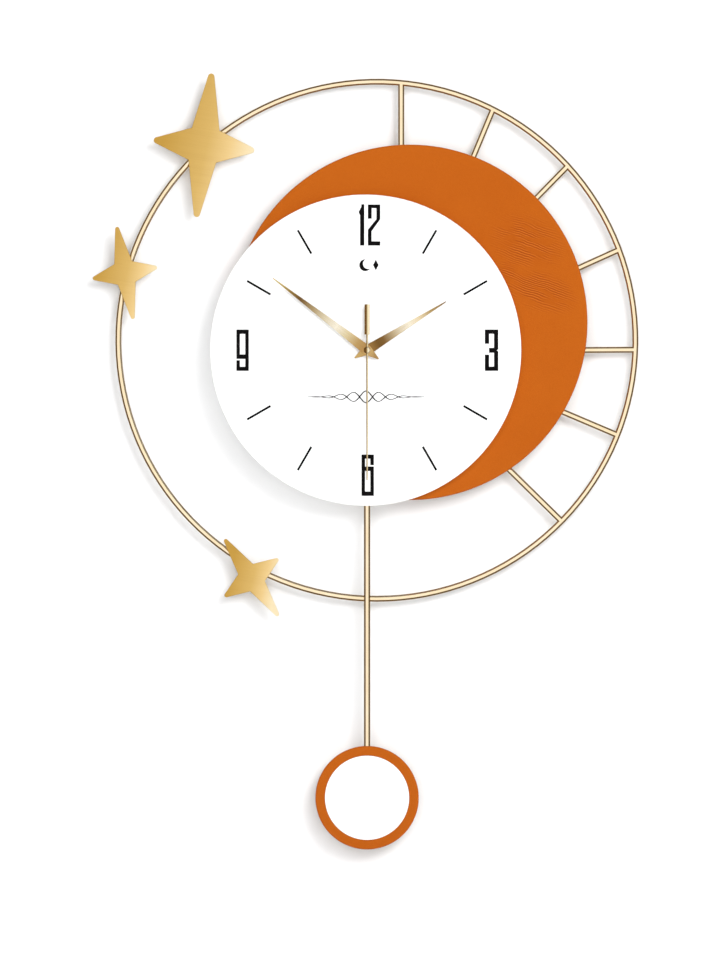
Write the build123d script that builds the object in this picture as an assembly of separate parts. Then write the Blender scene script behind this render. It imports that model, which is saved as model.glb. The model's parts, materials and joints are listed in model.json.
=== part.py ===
"""Pendulum wall clock: a wire hoop with stars, a leather moon, a white dial and a swinging bob.

Millimetres. +Z is up and the viewer looks along +Y, so the front of the clock faces -Y.
The wall is the plane y = 0. Outlines are drawn in X and Z about the hand arbor, and every
piece is moved at the end so that the origin is the middle of the hanger's head hole.
"""
from build123d import *
import math
import os

# ---- Hanging point, measured from the hand arbor ----
HANGER_X = 28.0
HANGER_Z = 136.0

# ---- Depths: y of each layer, from the wall forward ----
WALL = 0.0
HANGER_PLATE = 1.5
WIRE_Y = -6.0
BOARD_BACK = -9.0
BOARD_FRONT = -21.0
LEATHER = 0.8
DIAL_BACK = BOARD_FRONT - LEATHER
DIAL_FRONT = DIAL_BACK - 9.0
FACE_FRONT = DIAL_FRONT - 0.6
PRINT_FRONT = FACE_FRONT - 0.3
STAR_BACK = -10.0
STAR_THICK = 1.5
PENDULUM_Y = -14.0

# ---- Hoop and spokes ----
WIRE_RADIUS = 3.0
HOOP_RADIUS = 248.7
HOOP_CENTRE = (9.4, 9.8)
SPOKES = (  # where each spoke meets the hoop, and the way it points, in degrees
    (84.6, 90.0),
    (63.3, 67.5),
    (42.4, 45.7),
    (20.5, 24.3),
    (-2.1, 0.3),
    (-21.5, -23.0),
    (-44.4, -44.5),
)
SPOKE_INSET = 28.0
EYELET_RADIUS = 6.0
EYELET_THICK = 2.0
EYELET_GAP = 4.2

# ---- Moon and dial ----
MOON_RADIUS = 170.8
MOON_CENTRE = (41.0, 26.9)
MOON_CUT_RADIUS = 130.0
MOON_CUT_CENTRE = (-21.0, -13.5)
PENDULUM_GAP_X = 27.0
PENDULUM_GAP_Z = -60.0
DIAL_RADIUS = 149.5
DIAL_CENTRE = (-1.5, 0.0)
DIAL_SCREW_CIRCLE = 135.0
DIAL_SCREW_ANGLES = (-40.0, 10.0, 60.0, 110.0)
NUMERAL_CIRCLE = 120.0
NUMERAL_HEIGHT = 39.2
NUMERAL_SPREAD = 0.2
LINE_LENGTH = 26.0
LINE_WIDTH = 2.0

# ---- Stars: half length, tip radius, centre, lean of the top to the left in degrees ----
STARS = {
    "star_large": (69.4, 3.1, (-156.8, 197.3), -6.0),
    "star_medium": (45.0, 2.0, (-232.8, 74.5), 10.0),
    "star_small": (45.0, 2.0, (-111.1, -218.5), 35.0),
}
STAR_SIDE_TIP = 0.7
STAR_NOTCH = (0.194, 0.224)

# ---- Hands: clockwise angle from twelve ----
HOUR_ANGLE = 58.4
MINUTE_ANGLE = 307.4
SECOND_ANGLE = 180.0
HOUR_LENGTH = 89.0
MINUTE_LENGTH = 114.0
SECOND_LENGTH = 124.6
HAND_WIDTH = 9.7
HAND_TAIL = 14.0
HAND_THICK = 0.6
HOUR_HAND_BACK = -33.4
MINUTE_HAND_BACK = -35.4
SECOND_HAND_BACK = -37.6

# ---- Coaxial shafts ----
SECOND_SHAFT = 0.5
CANNON_BORE = 0.55
CANNON_RADIUS = 1.55
HOUR_BORE = 1.6
HOUR_TUBE = 2.5
BUSH_BORE = 2.55
BUSH_RADIUS = 4.0
RUNNING = 0.05

# ---- Movement case ----
CASE_FRONT = -21.3
CASE_SPLIT = -13.0
CASE_BACK = -5.0
CASE_WALL = 1.4
CASE_HALF_WIDTH = 28.0
CASE_TOP = 28.0
BAY_TOP = -12.5
BAY_BOTTOM = -28.5
BAY_HALF_WIDTH = 26.0
CHAMBER_HALF_WIDTH = 18.6
CASE_BOTTOM = -82.0
CASE_INNER_FRONT = CASE_FRONT + CASE_WALL
CASE_INNER_BACK = CASE_BACK - CASE_WALL
CASE_SCREWS = ((-25.0, 25.0), (25.0, 25.0), (-17.0, -33.2), (17.0, -33.2), (-17.0, -78.0), (17.0, -78.0))
CASE_BOSS = 2.2
CASE_SCREW = 0.9
PILLARS = ((-21.5, -8.0), (-21.5, 14.0), (20.8, 14.0), (22.5, -8.6))
MID_PLATE = (-14.9, -15.6)

# ---- Gear train: arbor places, and the y of each layer as (back, front) ----
CENTRE = (0.0, 0.0)
TRAIN_DISTANCE = 10.2
MOTION_DISTANCE = 8.4
THIRD_DIRECTION = 150.0
INTERMEDIATE_DIRECTION = 30.0
ROTOR_DISTANCE = 6.0
ROTOR_DIRECTION = 60.0
MINUTE_WHEEL_DIRECTION = -30.0
HOUR_LAYER = (-18.8, -19.6)
MOTION_LAYER = (-17.5, -18.5)
CENTRE_LAYER = (-16.2, -17.0)
THIRD_LAYER = (-13.9, -14.6)
SECOND_LAYER = (-12.6, -13.3)
ROTOR_LAYER = (-11.1, -11.8)
MAGNET_LAYER = (-8.7, -10.7)
STATOR_LAYER = (-9.3, -10.2)
ARBOR_RADIUS = 0.5
ARBOR_BACK = -8.0
WHEEL_TOOTH = {"height": 0.8, "depth": 1.1, "root": 0.27, "tip": 0.11}
PINION_TOOTH = {"height": 0.7, "depth": 1.15, "root": 0.22, "tip": 0.09}

# ---- Battery, type AA ----
BATTERY_RADIUS = 7.2
BATTERY_LENGTH = 49.4
BATTERY_NUB = (2.7, 1.1)
BATTERY_Y = -12.5
BATTERY_Z = (BAY_TOP + BAY_BOTTOM) / 2

# ---- Pendulum ----
PIVOT = (0.0, -36.0)
PIVOT_PIN = 1.0
ARM_LAYER = (-15.8, -18.2)
MAGNET_Z = -62.0
HOOK_Z = -90.0
HOOK_RADIUS = 1.8
ROD_RADIUS = 3.1
ROD_TOP = -97.0
BOB_CENTRE = (0.0, -430.0)
BOB_RADIUS = 49.7
BOB_FACE_RADIUS = 40.5
BOB_BACK = -10.2
BOB_FRONT = -17.8
BOB_SKIN = 0.6
ROD_SOCKET = 14.0


# ---- Helpers ----

def polar(radius, degrees, centre=CENTRE):
    """Point at a radius and an anticlockwise angle from +X."""
    angle = math.radians(degrees)
    return (centre[0] + radius * math.cos(angle), centre[1] + radius * math.sin(angle))


def disc(radius, at=CENTRE):
    return Pos(at[0], at[1]) * Circle(radius)


def bar(left, bottom, right, top):
    """Rectangle between two corners."""
    return Pos((left + right) / 2, (bottom + top) / 2) * Rectangle(right - left, top - bottom)


def polygon(*points):
    return make_face(Polyline(*points, close=True))


def slab(outline, back, front):
    """Plate with an outline in X and Z, from y = back to y = front."""
    return extrude(Plane.XZ.offset(-back) * outline, amount=back - front, dir=(0, -1, 0))


def pin(radius, at, back, front):
    return slab(disc(radius, at), back, front)


def tube(outer, inner, at, back, front):
    return slab(disc(outer, at) - disc(inner, at), back, front)


def rod_between(start, end, radius, y):
    """Round bar between two points of the plane at y."""
    run = Vector(end[0] - start[0], 0, end[1] - start[1])
    foot = Plane(origin=(start[0], y, start[1]), z_dir=run)
    return foot * Cylinder(radius, run.length, align=(Align.CENTER, Align.CENTER, Align.MIN))


def group(pieces):
    """Identical or related solids that share one file."""
    return Compound([solid for piece in pieces for solid in piece.solids()])


def cross_recess(size, at, back, depth):
    """Cutter for the cross in a screw's head."""
    across = Pos(at[0], at[1]) * (Rectangle(size, size / 5) + Rectangle(size / 5, size))
    return slab(across, back, back - depth)


def pan_screw(at, seat, head_radius, head_height, shank_radius, depth):
    """Screw driven forward from behind, with its head on the seat."""
    head = pin(head_radius, at, seat + head_height, seat)
    rim = head.edges().filter_by(GeomType.CIRCLE).sort_by(Axis.Y)[-1]
    head = fillet(rim, head_height * 0.45)
    shank = pin(shank_radius, at, seat, seat - depth)
    recess = cross_recess(head_radius * 1.2, at, seat + head_height, head_height * 0.6)
    return (head + shank) - recess


def countersunk_screw(at, face, head_radius, head_depth, shank_radius, depth):
    """Screw driven forward from behind, flush with the face at y = face."""
    top = Plane.XZ.offset(-face) * Pos(at[0], at[1])
    head = top * Cone(head_radius, shank_radius, head_depth, align=(Align.CENTER, Align.CENTER, Align.MIN))
    shank = pin(shank_radius, at, face - head_depth, face - depth)
    return (head + shank) - cross_recess(head_radius * 1.1, at, face, head_depth * 0.5)


def countersunk_hole(at, face, head_radius, head_depth, shank_radius, depth):
    top = Plane.XZ.offset(-face) * Pos(at[0], at[1])
    sink = top * Cone(head_radius, shank_radius, head_depth, align=(Align.CENTER, Align.CENTER, Align.MIN))
    return sink + pin(shank_radius, at, face - head_depth, face - depth)


def hoop_wire(radius=WIRE_RADIUS):
    """The hoop as a torus lying in the plane at WIRE_Y."""
    foot = Plane(origin=(HOOP_CENTRE[0], WIRE_Y, HOOP_CENTRE[1]), z_dir=(0, -1, 0))
    return foot * Torus(HOOP_RADIUS, radius)


def gear(teeth, module, at, layer, tooth_angle, form, bore):
    """Spur gear with straight-sided teeth; the middle of one tooth lies at tooth_angle."""
    pitch = module * teeth / 2
    root = pitch - form["depth"] * module
    tip = pitch + form["height"] * module
    points = []
    for number in range(teeth):
        for radius, share in ((root, -form["root"]), (tip, -form["tip"]), (tip, form["tip"]), (root, form["root"])):
            points.append(polar(radius, tooth_angle + 360 * (number + share) / teeth, at))
    outline = polygon(*points)
    if bore:
        outline -= disc(bore, at)
    return slab(outline, *layer)


def gap_angle(direction, teeth):
    """Tooth angle that puts a gap, not a tooth, in the direction."""
    return direction + 180 / teeth


THIRD = polar(TRAIN_DISTANCE, THIRD_DIRECTION)
INTERMEDIATE = polar(TRAIN_DISTANCE, INTERMEDIATE_DIRECTION)
ROTOR = polar(ROTOR_DISTANCE, ROTOR_DIRECTION, INTERMEDIATE)
MINUTE_WHEEL = polar(MOTION_DISTANCE, MINUTE_WHEEL_DIRECTION)
KNOB = (MINUTE_WHEEL[0] + MOTION_DISTANCE, MINUTE_WHEEL[1])


# ---- Hoop, spokes and stars ----

def distance_to_circle(start, run, centre, radius):
    """Length along a ray, with a unit direction, to the circle that it enters."""
    to_start = (start[0] - centre[0], start[1] - centre[1])
    along = to_start[0] * run[0] + to_start[1] * run[1]
    square = to_start[0] ** 2 + to_start[1] ** 2 - radius ** 2
    return -along - math.sqrt(along ** 2 - square)


def spoke_line(hoop_angle, direction):
    """A spoke's outer end on the hoop, its inward direction and the middle of its eyelet."""
    outer = polar(HOOP_RADIUS, hoop_angle, HOOP_CENTRE)
    run = polar(-1.0, direction)
    reach = distance_to_circle(outer, run, MOON_CENTRE, MOON_RADIUS) + SPOKE_INSET
    eye = (outer[0] + run[0] * reach, outer[1] + run[1] * reach)
    return outer, run, eye


def spoke(hoop_angle, direction):
    outer, run, eye = spoke_line(hoop_angle, direction)
    end = (eye[0] - run[0] * EYELET_GAP, eye[1] - run[1] * EYELET_GAP)
    rod = rod_between(outer, end, WIRE_RADIUS, WIRE_Y)
    eyelet = slab(disc(EYELET_RADIUS, eye) - disc(1.6, eye), BOARD_BACK + EYELET_THICK, BOARD_BACK)
    return (rod + eyelet) - hoop_wire()


def tangent_point(start, centre, radius, side):
    """Where a line from start touches a circle, on the side +1 or -1."""
    run = (centre[0] - start[0], centre[1] - start[1])
    length = math.hypot(*run)
    turn = math.asin(radius / length) * side
    reach = math.sqrt(length ** 2 - radius ** 2)
    angle = math.atan2(run[1], run[0]) + turn
    return (start[0] + reach * math.cos(angle), start[1] + reach * math.sin(angle))


def star_outline(half_length, tip_radius):
    """Four straight-sided points with rounded tips, the long pair upright."""
    notch_x = STAR_NOTCH[0] * half_length
    notch_y = STAR_NOTCH[1] * half_length
    notches = ((notch_x, -notch_y), (notch_x, notch_y), (-notch_x, notch_y), (-notch_x, -notch_y))
    reaches = (STAR_SIDE_TIP * half_length, half_length)
    edges = []
    for number in range(4):
        before = notches[number]
        after = notches[(number + 1) % 4]
        reach = reaches[number % 2]
        centre = polar(reach - tip_radius, 90 * number)
        leave = tangent_point(before, centre, tip_radius, -1)
        meet = tangent_point(after, centre, tip_radius, 1)
        edges += [Line(before, leave), ThreePointArc(leave, polar(reach, 90 * number), meet), Line(meet, after)]
    return make_face(edges)


def star(name):
    half_length, tip_radius, centre, lean = STARS[name]
    outline = Pos(*centre) * Rot(0, 0, lean) * star_outline(half_length, tip_radius)
    return slab(outline, STAR_BACK, STAR_BACK - STAR_THICK)


def star_saddles():
    """Small blocks, hollowed to sit on the wire, that carry the stars."""
    blocks = []
    for _, _, centre, _ in STARS.values():
        towards = math.degrees(math.atan2(centre[1] - HOOP_CENTRE[1], centre[0] - HOOP_CENTRE[0]))
        seat = polar(HOOP_RADIUS, towards, HOOP_CENTRE)
        block = slab(Pos(*seat) * Rot(0, 0, towards) * Rectangle(5, 14), -7.5, STAR_BACK)
        blocks.append(block - hoop_wire())
    return group(blocks)


# ---- Moon and dial ----

def moon_outline(radius):
    """Crescent that runs behind the dial, cut away where the pendulum hangs."""
    crescent = disc(radius, MOON_CENTRE) - disc(MOON_CUT_RADIUS, MOON_CUT_CENTRE)
    return crescent - bar(-200, -200, PENDULUM_GAP_X, PENDULUM_GAP_Z)


def dial_screw_places():
    return [polar(DIAL_SCREW_CIRCLE, angle) for angle in DIAL_SCREW_ANGLES]


def hanger_screw_places():
    return [(HANGER_X + dx, HANGER_Z + dz) for dx in (-18.5, 18.5) for dz in (-10, 10)]


def spoke_screw_places():
    return [spoke_line(*pair)[2] for pair in SPOKES]


def moon_board():
    board = slab(moon_outline(MOON_RADIUS - LEATHER), BOARD_BACK, BOARD_FRONT)
    for place in spoke_screw_places():
        board -= pin(1.55, place, BOARD_BACK, BOARD_BACK - 9)
    for place in hanger_screw_places():
        board -= pin(1.25, place, BOARD_BACK, BOARD_BACK - 8)
    for place in dial_screw_places():
        board -= countersunk_hole(place, BOARD_BACK, 3.6, 2.4, 1.75, 12)
    return board


def moon_leather():
    """Leather over the front of the board, wrapped round its outer edge."""
    hide = slab(moon_outline(MOON_RADIUS), BOARD_BACK, DIAL_BACK)
    hide -= slab(disc(MOON_RADIUS - LEATHER, MOON_CENTRE), BOARD_BACK, BOARD_FRONT)
    for place in dial_screw_places():
        hide -= pin(1.75, place, BOARD_FRONT, DIAL_BACK)
    return hide


def dial_board():
    """White board with a stepped hole that takes the movement's bush, washer and nut."""
    board = pin(DIAL_RADIUS, DIAL_CENTRE, DIAL_BACK, DIAL_FRONT)
    front_rim = board.edges().filter_by(GeomType.CIRCLE).sort_by(Axis.Y)[0]
    board = fillet(front_rim, 0.8)
    board -= pin(BUSH_RADIUS + 0.2, CENTRE, DIAL_BACK, DIAL_FRONT)
    board -= pin(9.0, CENTRE, DIAL_FRONT + 4.0, DIAL_FRONT)
    for place in dial_screw_places():
        board -= pin(1.75, place, DIAL_BACK, BOARD_BACK - 19)
    return board


def dial_face():
    sheet = pin(DIAL_RADIUS - 0.9, DIAL_CENTRE, DIAL_FRONT, FACE_FRONT)
    return sheet - pin(HOUR_TUBE + 0.5, CENTRE, DIAL_FRONT, FACE_FRONT)


def numeral_one():
    stem = bar(-1.8, 0, 1.8, NUMERAL_HEIGHT)
    flag = polygon((-1.8, 29.0), (-3.2, 32.0), (-1.8, 34.5), (-0.6, 36.5), (-0.6, 29.0))
    notch = polygon((-1.9, 34.4), (-0.6, 37.0), (-0.6, 39.4), (-1.9, 39.4))
    return stem + flag - notch


def numeral_two():
    upper = bar(-5.7, 35.9, 5.7, 38.9) + bar(-5.7, 25.8, -2.5, 38.9) + bar(2.5, 25.0, 5.7, 38.9)
    slope = polygon((5.7, 25.0), (2.5, 25.0), (-5.7, 15.0), (-2.7, 13.5))
    lower = bar(-5.7, 0, -2.6, 15.0) + bar(-5.7, 0, 5.7, 3.6)
    return upper + slope + lower


def numeral_three():
    right = bar(2.6, 0, 6.2, NUMERAL_HEIGHT)
    rungs = bar(-6.2, 0, 6.2, 3.6) + bar(-2.2, 17.4, 3, 21.6) + bar(-6.2, 35.6, 6.2, NUMERAL_HEIGHT)
    left = bar(-6.2, 26.0, -2.6, NUMERAL_HEIGHT) + bar(-6.2, 0, -2.6, 15.1)
    return right + rungs + left - polygon((6.3, 18.2), (6.3, 20.8), (4.7, 19.5))


def numeral_nine():
    right = bar(2.8, 0, 5.7, NUMERAL_HEIGHT)
    left = bar(-5.7, 11.5, -2.8, NUMERAL_HEIGHT) + bar(-5.7, 0, -2.8, 9.7)
    rungs = bar(-5.7, 0, 5.7, 3.5) + bar(-5.7, 11.5, 5.7, 15.3) + bar(-5.7, 35.5, 5.7, NUMERAL_HEIGHT)
    return right + left + rungs


def dial_numerals():
    """The numerals 12, 3, 6 and 9, standing up from the face by the thickness of the film."""
    drop = NUMERAL_HEIGHT / 2
    six = Rot(0, 0, 180) * Pos(0, -drop) * numeral_nine()
    outlines = [
        Pos(-4.7, NUMERAL_CIRCLE + 0.3 - drop) * numeral_one(),
        Pos(6.7, NUMERAL_CIRCLE + 0.3 - drop) * numeral_two(),
        Pos(NUMERAL_CIRCLE - 0.5, -drop) * numeral_three(),
        Pos(0.6, -NUMERAL_CIRCLE) * six,
        Pos(-NUMERAL_CIRCLE + 0.5, -drop) * numeral_nine(),
    ]
    spread = [offset(each, NUMERAL_SPREAD, kind=Kind.INTERSECTION) for each in outlines]
    return group(slab(each, FACE_FRONT, PRINT_FRONT) for each in spread)


def hour_lines():
    lines = []
    for hour in (1, 2, 4, 5, 7, 8, 10, 11):
        line = Rot(0, 0, -30 * hour) * Pos(0, NUMERAL_CIRCLE) * Rectangle(LINE_WIDTH, LINE_LENGTH)
        lines.append(slab(line, FACE_FRONT, PRINT_FRONT))
    return group(lines)


def dial_emblem():
    """A small plain crescent beside a diamond, below the twelve."""
    crescent = disc(5.6, (-1.8, 81.6)) - disc(4.9, (0.9, 82.9))
    diamond = polygon((8.4, 76.7), (11.0, 81.8), (8.4, 86.9), (5.8, 81.8))
    return group(slab(each, FACE_FRONT, PRINT_FRONT) for each in (crescent, diamond))


# ---- Fasteners, hanger and bumpers ----

def dial_screws():
    return group(countersunk_screw(at, BOARD_BACK, 3.5, 2.3, 1.7, 18.5) for at in dial_screw_places())


def spoke_screws():
    seat = BOARD_BACK + EYELET_THICK
    return group(pan_screw(at, seat, 3.0, 2.0, 1.5, 10.5) for at in spoke_screw_places())


def hanger_screws():
    seat = BOARD_BACK + HANGER_PLATE
    return group(pan_screw(at, seat, 2.6, 1.7, 1.2, 9.0) for at in hanger_screw_places())


def hanger_bracket():
    """Hat-section plate with a keyhole, standing off the board so that a screw head fits behind it."""
    crown = slab(bar(-13, -16, 13, 16), WALL, WALL - HANGER_PLATE)
    legs = slab(bar(-13, -16, -11.5, 16) + bar(11.5, -16, 13, 16), WALL, BOARD_BACK)
    flanges = slab(bar(-24, -16, -11.5, 16) + bar(11.5, -16, 24, 16), BOARD_BACK + HANGER_PLATE, BOARD_BACK)
    keyhole = disc(4.5) + bar(-2.2, 0, 2.2, 8) + disc(2.2, (0, 8))
    bracket = crown + legs + flanges - slab(keyhole, WALL, WALL - HANGER_PLATE)
    for at in hanger_screw_places():
        bracket -= pin(1.3, (at[0] - HANGER_X, at[1] - HANGER_Z), BOARD_BACK + HANGER_PLATE, BOARD_BACK)
    return Pos(HANGER_X, 0, HANGER_Z) * bracket


def wall_bumpers():
    """Rubber feet on the moon board, and a taller one on the back of the dial."""
    bumpers = []
    for at, foot, radius in (((-80, 115), BOARD_BACK, 7), ((108, -66), BOARD_BACK, 7), ((-95, -80), DIAL_BACK, 8)):
        bumper = pin(radius, at, WALL, foot)
        rim = bumper.edges().filter_by(GeomType.CIRCLE).sort_by(Axis.Y)[-1]
        bumpers.append(fillet(rim, 1.2))
    return group(bumpers)


# ---- Movement case ----

def case_outline(inset=0.0):
    """Upper box for the train and battery, with a narrower pendulum housing below it."""
    side = CASE_HALF_WIDTH - inset
    lower = CHAMBER_HALF_WIDTH + CASE_WALL - inset
    shoulder = BAY_BOTTOM - CASE_WALL + inset
    upper = Pos(0, (CASE_TOP + shoulder) / 2) * RectangleRounded(2 * side, CASE_TOP - shoulder - inset, 3)
    return upper + bar(-lower, CASE_BOTTOM, lower, shoulder + 8)


def train_pocket():
    return bar(-CASE_HALF_WIDTH + CASE_WALL, BAY_TOP + 1.2, CASE_HALF_WIDTH - CASE_WALL, CASE_TOP - CASE_WALL)


def bay_pocket():
    return bar(-BAY_HALF_WIDTH, BAY_BOTTOM, BAY_HALF_WIDTH, BAY_TOP)


def pendulum_pocket():
    return bar(-CHAMBER_HALF_WIDTH, CASE_BOTTOM - 1, CHAMBER_HALF_WIDTH, BAY_BOTTOM - 1.2)


def case_bosses(back, front, bore_back, bore_front):
    bosses = [pin(CASE_BOSS, at, back, front) - pin(CASE_SCREW, at, bore_back, bore_front) for at in CASE_SCREWS]
    return bosses


def movement_case_front():
    """Front shell: dial side of the movement, with the pillars and blind bearings of the train."""
    shell = slab(case_outline(), CASE_SPLIT, CASE_FRONT)
    for pocket in (train_pocket(), bay_pocket(), pendulum_pocket()):
        shell -= slab(pocket, CASE_SPLIT, CASE_INNER_FRONT)
    for boss in case_bosses(CASE_SPLIT, CASE_INNER_FRONT, CASE_SPLIT, CASE_SPLIT - 4):
        shell += boss
    for at in PILLARS:
        shell += pin(1.5, at, MID_PLATE[1], CASE_INNER_FRONT)
    shell += pin(0.7, MINUTE_WHEEL, -17.35, CASE_INNER_FRONT)
    shell += pin(2.4, PIVOT, -18.6, CASE_INNER_FRONT)
    shell -= pin(BUSH_RADIUS, CENTRE, CASE_INNER_FRONT, CASE_FRONT)
    shell -= pin(PIVOT_PIN, PIVOT, -18.6, CASE_INNER_FRONT - 0.7)
    for at in (THIRD, KNOB):
        shell -= pin(ARBOR_RADIUS + RUNNING, at, CASE_INNER_FRONT, CASE_INNER_FRONT - 0.9)
    return shell


def movement_case_rear():
    """Rear cover: closes the train and the pendulum housing, and leaves the battery bay open."""
    cover = slab(case_outline(), CASE_BACK, CASE_SPLIT)
    for pocket in (train_pocket(), pendulum_pocket()):
        cover -= slab(pocket, CASE_INNER_BACK, CASE_SPLIT)
    cover -= slab(bay_pocket(), CASE_BACK, CASE_SPLIT)
    for boss in case_bosses(CASE_INNER_BACK, CASE_SPLIT, CASE_INNER_BACK, CASE_SPLIT):
        cover += boss
    for at in CASE_SCREWS:
        cover -= pin(CASE_SCREW, at, CASE_BACK, CASE_INNER_BACK)
        cover -= pin(2.0, at, CASE_BACK, CASE_BACK - 0.9)
    for at, depth in ((CENTRE, -10.4), (THIRD, -10.4), (INTERMEDIATE, -10.2), (ROTOR, -8.4)):
        cover += pin(1.2, at, CASE_INNER_BACK, depth)
        cover -= pin(ARBOR_RADIUS + RUNNING, at, -7.2, depth)
    cover += pin(2.4, PIVOT, CASE_INNER_BACK, -11.8)
    cover -= pin(PIVOT_PIN, PIVOT, -7.5, -11.8)
    cover -= pin(1.3, KNOB, CASE_BACK, CASE_INNER_BACK)
    return cover


def mid_plate():
    """Plate on the pillars that carries the front pivots behind the centre wheel."""
    plate = slab(bar(-25, -10.6, 25, 16), *MID_PLATE)
    plate -= pin(1.75, THIRD, *MID_PLATE)
    plate -= pin(1.35, KNOB, *MID_PLATE)
    plate -= pin(CANNON_RADIUS + 0.15, CENTRE, *MID_PLATE)
    for at in (INTERMEDIATE, ROTOR):
        plate -= pin(ARBOR_RADIUS + RUNNING, at, *MID_PLATE)
    return plate


def shaft_bush():
    """Threaded brass bush that carries the movement in the dial."""
    bush = tube(BUSH_RADIUS, BUSH_BORE, CENTRE, CASE_INNER_FRONT, DIAL_FRONT + 0.2)
    return bush


def hex_nut():
    seat = DIAL_FRONT + 4.0 - 0.5
    outline = RegularPolygon(5.5, 6, major_radius=False) - disc(BUSH_RADIUS)
    return slab(outline, seat, seat - 2.5)


def bush_washer():
    seat = DIAL_FRONT + 4.0
    return tube(7.5, BUSH_RADIUS + 0.1, CENTRE, seat, seat - 0.5)


def rubber_gasket():
    return slab(Pos(0, 0) * RectangleRounded(40, 36, 3) - disc(BUSH_RADIUS + 0.3), CASE_FRONT, DIAL_BACK)


def circuit_board():
    board = slab(bar(-25.5, -9.5, -12.0, 12.0) - disc(1.5, THIRD), -8.2, -9.0)
    chip = slab(disc(2.6, (-20, 6)), -9.0, -10.0)
    crystal = rod_between((-22.5, -5.0), (-15.5, -5.0), 1.0, -9.9)
    return board + chip + crystal


def stator():
    """Soft iron plate: a ring round the rotor, a neck and the bar that the coil is wound on."""
    outline = disc(4.6, ROTOR) + bar(8.6, ROTOR[1], 15.2, 23.5) + bar(-15, 20.5, 15.2, 23.5)
    return slab(outline - disc(3.4, ROTOR), *STATOR_LAYER)


def coil_bobbin():
    """Plastic former round the bar, with a flange at each end."""
    middle_y = (STATOR_LAYER[0] + STATOR_LAYER[1]) / 2
    core = rod_between((-13, 22), (5, 22), 2.0, middle_y)
    for x in (-13, 4.2):
        core += rod_between((x, 22), (x + 0.8, 22), 3.2, middle_y)
    return core - slab(bar(-15, 20.5, 15.2, 23.5), *STATOR_LAYER)


def motor_coil():
    middle_y = (STATOR_LAYER[0] + STATOR_LAYER[1]) / 2
    return rod_between((-12.2, 22), (4.2, 22), 2.9, middle_y) - rod_between((-12.2, 22), (4.2, 22), 2.0, middle_y)


def battery_contacts():
    """Sprung strips at the two ends of the bay."""
    low = BATTERY_Z - 4.5
    high = BATTERY_Z + 4.5
    left = slab(bar(-BAY_HALF_WIDTH, low, -BAY_HALF_WIDTH + 0.3, high), -6.0, CASE_INNER_FRONT)
    right = slab(bar(BAY_HALF_WIDTH - 0.3, low, BAY_HALF_WIDTH, high), -6.0, CASE_INNER_FRONT)
    return group([left, right])


def pendulum_coil():
    return tube(7.0, 2.0, (PIVOT[0], MAGNET_Z), CASE_INNER_BACK, -10.6)


def pendulum_pivot_pin():
    return pin(PIVOT_PIN, PIVOT, -7.5, CASE_INNER_FRONT - 0.7)


def case_screws():
    return group(pan_screw(at, CASE_BACK - 0.9, 1.9, 0.8, CASE_SCREW, 10.6) for at in CASE_SCREWS)


# ---- Hands ----

def kite(length):
    """Hand outline: widest at the arbor, straight to a fine point, with a short pointed tail."""
    half = HAND_WIDTH / 2
    tip = 0.4
    return polygon((-half, 0), (-0.6, -HAND_TAIL), (0.6, -HAND_TAIL), (half, 0), (tip, length), (-tip, length))


def hand(length, angle, back, bore, collar, collar_back):
    plate = slab(Rot(0, 0, -angle) * kite(length) - disc(bore), back, back - HAND_THICK)
    return plate + tube(collar, bore, CENTRE, collar_back, back)


def hour_hand():
    return hand(HOUR_LENGTH, HOUR_ANGLE, HOUR_HAND_BACK, HOUR_TUBE, 3.4, -32.4)


def minute_hand():
    return hand(MINUTE_LENGTH, MINUTE_ANGLE, MINUTE_HAND_BACK, CANNON_RADIUS, 2.4, -34.6)


def second_hand():
    """Needle with a long narrow counterweight, on a small domed hub."""
    needle = polygon((-0.9, -44), (-0.9, 0), (-0.65, SECOND_LENGTH), (0.65, SECOND_LENGTH), (0.9, 0), (0.9, -44))
    weight = bar(-2.5, -44, 2.5, -15)
    outline = Rot(0, 0, -SECOND_ANGLE) * (needle + weight) + disc(3.2)
    plate = slab(outline, SECOND_HAND_BACK, SECOND_HAND_BACK - 0.4)
    front = SECOND_HAND_BACK - 0.4
    cap = pin(3.2, CENTRE, front, front - 1.2)
    cap = fillet(cap.edges().filter_by(GeomType.CIRCLE).sort_by(Axis.Y)[0], 1.1)
    socket = pin(1.1, CENTRE, -36.7, SECOND_HAND_BACK)
    return plate + cap + socket - pin(SECOND_SHAFT, CENTRE, -36.7, -38.3)


# ---- Gear train ----

def cannon_pinion():
    """Tube that carries the minute hand, with the pinion that drives the minute wheel."""
    pinion = gear(12, 0.35, CENTRE, MOTION_LAYER, gap_angle(MINUTE_WHEEL_DIRECTION, 12), PINION_TOOTH, CANNON_BORE)
    return tube(CANNON_RADIUS, CANNON_BORE, CENTRE, -15.4, -36.2) + pinion


def centre_wheel():
    return gear(64, 2 * TRAIN_DISTANCE / 72, CENTRE, CENTRE_LAYER, THIRD_DIRECTION, WHEEL_TOOTH, CANNON_RADIUS)


def hour_wheel():
    wheel = gear(40, 0.336, CENTRE, HOUR_LAYER, MINUTE_WHEEL_DIRECTION, WHEEL_TOOTH, HOUR_BORE)
    return wheel + tube(HOUR_TUBE, HOUR_BORE, CENTRE, HOUR_LAYER[1], -34.2)


def minute_wheel():
    """Wheel and pinion between the cannon pinion and the hour wheel, on a fixed stud."""
    wheel = gear(36, 0.35, MINUTE_WHEEL, MOTION_LAYER, 0, WHEEL_TOOTH, 0.76)
    meets_hour = gap_angle(MINUTE_WHEEL_DIRECTION + 180, 10)
    pinion = gear(10, 0.336, MINUTE_WHEEL, (MOTION_LAYER[1], HOUR_LAYER[1]), meets_hour, PINION_TOOTH, 0.76)
    return wheel + pinion


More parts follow.
